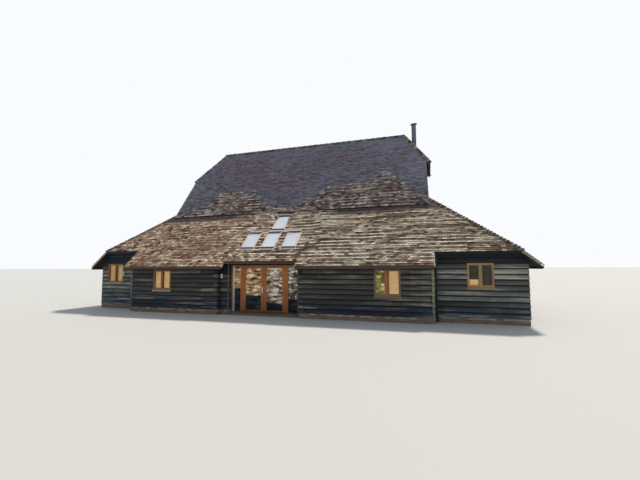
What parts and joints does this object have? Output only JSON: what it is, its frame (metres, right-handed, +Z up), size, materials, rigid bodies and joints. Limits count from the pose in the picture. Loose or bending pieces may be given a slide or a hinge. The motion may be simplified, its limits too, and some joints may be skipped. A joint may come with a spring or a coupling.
{
  "type": "converted aisled barn",
  "caption": "Aisled barn made into a house, with black weatherboarded walls on a brick plinth under steep hipped clay tile roofs, glazed timber doors, rooflights and a steel flue.",
  "frame": {"origin": "middle of the building's outline on the ground, under the ridge", "axes": "+X along the ridge towards the right end seen from the front, -Y is the front with the doors, +Z is up"},
  "size_m": [20.14, 11.4, 9.5206],
  "materials": {
    "roof_tiles": "rough fired clay, weathered",
    "ridge_and_hip_tiles": "rough fired clay, weathered",
    "black_boards": "black stain, greyed at the edges",
    "weathered_boards": "weathered, dull",
    "frame_timber": "rough sawn oak",
    "oak_joinery": "satin oil stain",
    "brick": "rough stock brick",
    "concrete": "floated concrete",
    "stone_sills": "rough tile and mortar",
    "window_panes": "clear, with drawn blinds behind",
    "door_panes": "clear",
    "rooflight_panes": "clear, reflecting the sky",
    "rooflight_metal": "satin grey",
    "flue_steel": "dull, weathered",
    "hinge_brass": "satin",
    "handle_metal": "satin",
    "lantern_white": "gloss white",
    "dark_pipe": "satin black"
  },
  "bodies": {
    "building": {"floor_slab": "concrete", "front_plinth": "brick", "back_plinth": "brick", "end_plinths": "brick", "front_wall_left": "black_boards", "front_wall_right": "black_boards", "wing_front_walls": "black_boards", "return_walls": "black_boards", "end_walls": "black_boards", "back_walls": "black_boards", "gable_walls": "black_boards", "door_cheeks": "black_boards", "door_lintel": "black_boards", "arcade_posts": "frame_timber", "arcade_plates": "frame_timber", "tie_beams": "frame_timber", "nave_roof_front": "roof_tiles", "nave_roof_back": "roof_tiles", "half_hip_left": "roof_tiles", "half_hip_right": "roof_tiles", "aisle_roof_front": "roof_tiles", "aisle_roof_back": "roof_tiles", "end_roof_left": "roof_tiles", "end_roof_right": "roof_tiles", "ridge_tiles": "ridge_and_hip_tiles", "hip_tiles": "ridge_and_hip_tiles", "eaves_boards": "weathered_boards", "corner_boards": "weathered_boards", "window_frames": "oak_joinery", "window_sills": "stone_sills", "window_glass": "window_panes", "rooflight_frames": "rooflight_metal", "rooflight_glass": "rooflight_panes", "flue": "flue_steel", "door_frame_posts": "oak_joinery", "door_frame_rails": "oak_joinery", "side_lights": "door_panes", "door_hinges": "hinge_brass", "wall_lanterns": "lantern_white", "downpipe": "dark_pipe"},
    "left_door": {"left_door_leaf": "oak_joinery", "left_door_glass": "door_panes", "door_handle": "handle_metal"},
    "right_door": {"right_door_leaf": "oak_joinery", "right_door_glass": "door_panes"}
  },
  "joints": [
    {"name": "left_door_hinge", "type": "hinge", "parent": "building", "child": "left_door", "pos_m": [-1.1815, -5.128, 1], "axis": [0, 0, -1], "range_deg": [0, 90]},
    {"name": "right_door_hinge", "type": "hinge", "parent": "building", "child": "right_door", "pos_m": [0.7615, -5.128, 1], "axis": [0, 0, 1], "range_deg": [0, 90]}
  ]
}
